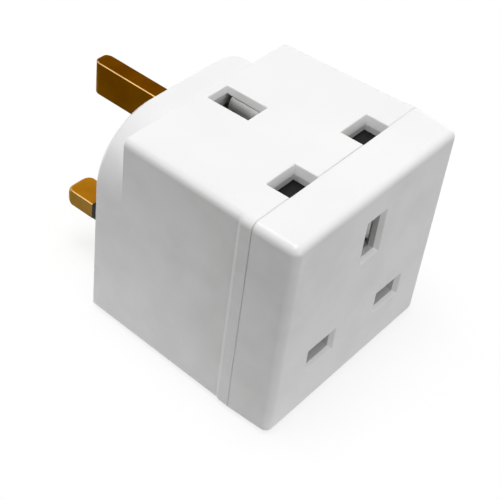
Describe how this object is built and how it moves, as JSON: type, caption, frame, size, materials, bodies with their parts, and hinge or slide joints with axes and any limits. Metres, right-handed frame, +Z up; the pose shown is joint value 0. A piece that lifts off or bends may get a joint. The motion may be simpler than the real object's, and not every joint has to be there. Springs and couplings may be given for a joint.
{
  "type": "multi socket adapter",
  "caption": "White block adapter that plugs into a wall socket by brass pins and has shuttered three-pin sockets in its front and top faces.",
  "frame": {"origin": "on the plug face, midway between the live and neutral pins", "axes": "+X to the right seen from the front socket, +Y into the wall along the pins, +Z up"},
  "size_m": [0.051, 0.0714, 0.0488],
  "materials": {
    "housing": "semi-gloss moulded",
    "pin_brass": "machined",
    "sleeve": "moulded",
    "strip_brass": "rolled sheet",
    "contact_metal": "plated sheet",
    "rivet": "plain",
    "shutter": "moulded",
    "spring": "drawn wire",
    "keeper": "moulded",
    "screw": "zinc plated"
  },
  "bodies": {
    "housing": {"rear_body": "housing", "front_cover": "housing", "earth_pin": "pin_brass", "live_pin": "pin_brass", "neutral_pin": "pin_brass", "live_pin_sleeve": "sleeve", "neutral_pin_sleeve": "sleeve", "earth_strip": "strip_brass", "live_strip": "strip_brass", "neutral_strip": "strip_brass", "front_earth_contact": "contact_metal", "front_live_contact": "contact_metal", "front_neutral_contact": "contact_metal", "top_earth_contact": "contact_metal", "top_live_contact": "contact_metal", "top_neutral_contact": "contact_metal", "contact_rivets": "rivet", "front_shutter_spring": "spring", "top_shutter_spring": "spring", "front_shutter_keeper": "keeper", "top_shutter_keeper": "keeper", "assembly_screws": "screw"},
    "front_shutter": {"front_shutter": "shutter"},
    "top_shutter": {"top_shutter": "shutter"}
  },
  "joints": [
    {"name": "front_shutter_slide", "type": "slide", "parent": "housing", "child": "front_shutter", "axis": [0, 0, -1], "range_m": [0, 0.0054], "stiffness_N_per_m": 60, "springref_m": -0.005, "deforming": ["front_shutter_spring"]},
    {"name": "top_shutter_slide", "type": "slide", "parent": "housing", "child": "top_shutter", "axis": [0, -1, 0], "range_m": [0, 0.0054], "stiffness_N_per_m": 60, "springref_m": -0.005, "deforming": ["top_shutter_spring"]}
  ]
}
